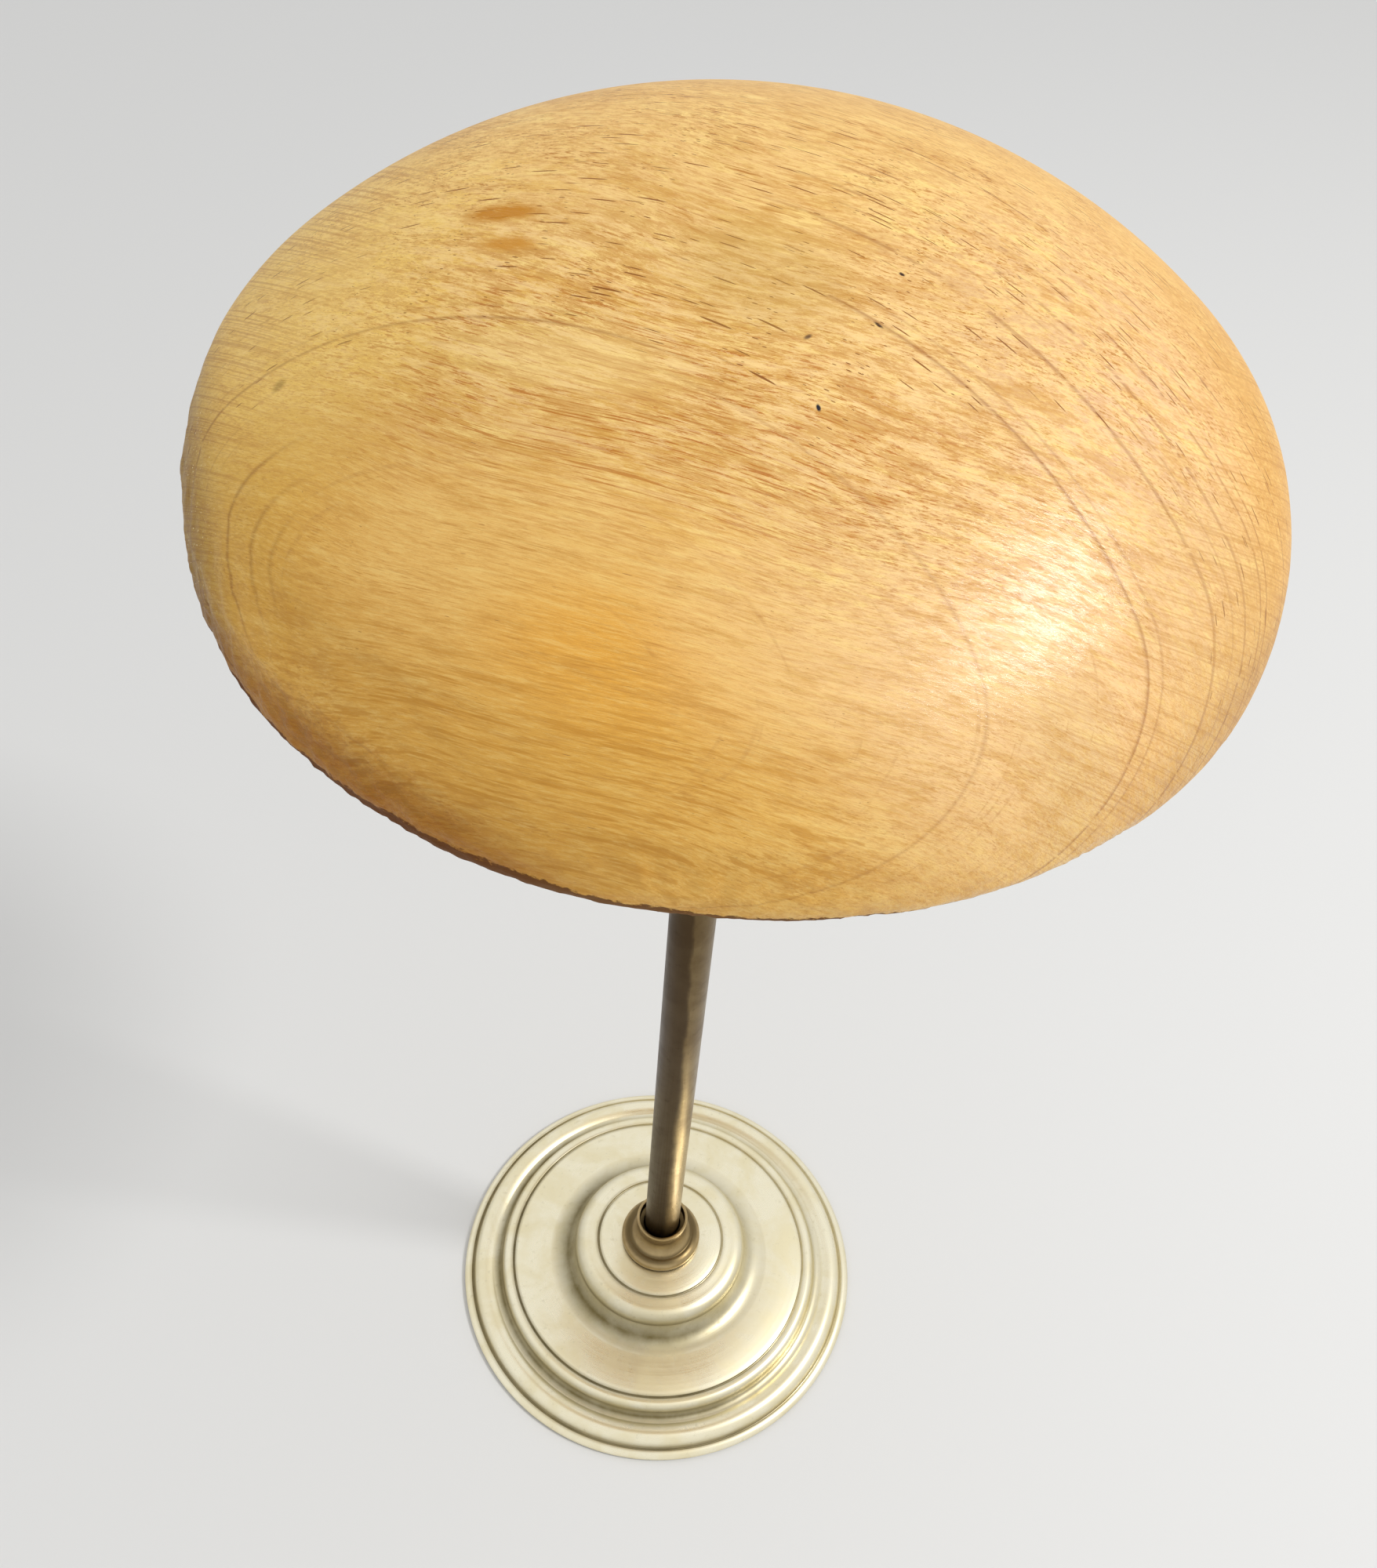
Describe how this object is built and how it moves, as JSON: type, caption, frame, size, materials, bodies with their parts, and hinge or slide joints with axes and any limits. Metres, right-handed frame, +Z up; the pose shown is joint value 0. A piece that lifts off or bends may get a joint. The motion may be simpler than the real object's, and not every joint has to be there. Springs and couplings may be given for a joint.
{
  "type": "hat stand",
  "caption": "Tabletop hat stand: a domed, turned wooden head on a slim round brass stem, screwed to a weighted brass base with stepped mouldings.",
  "frame": {"origin": "centre of the pad's underside, on the table, below the middle of the stem", "axes": "+Z up along the stem, towards the wooden head; +X and +Y lie on the table, and the stand is round about +Z"},
  "size_m": [0.1504, 0.1504, 0.3188],
  "materials": {
    "beech": "varnished, worn satin",
    "polished_brass": "polished, lightly worn",
    "zinc_plated_steel": "dull plated",
    "cast_iron": "rough cast",
    "green_baize": "matt napped wool"
  },
  "bodies": {
    "root": {"head": "beech", "head_flange": "polished_brass", "head_screw_1": "polished_brass", "head_screw_2": "polished_brass", "head_screw_3": "polished_brass", "stem_tube": "polished_brass", "tie_rod": "zinc_plated_steel", "stem_collar": "polished_brass", "base_shell": "polished_brass", "base_weight": "cast_iron", "clamp_washer": "zinc_plated_steel", "spring_washer": "zinc_plated_steel", "clamp_nut": "zinc_plated_steel", "base_pad": "green_baize"}
  },
  "joints": []
}
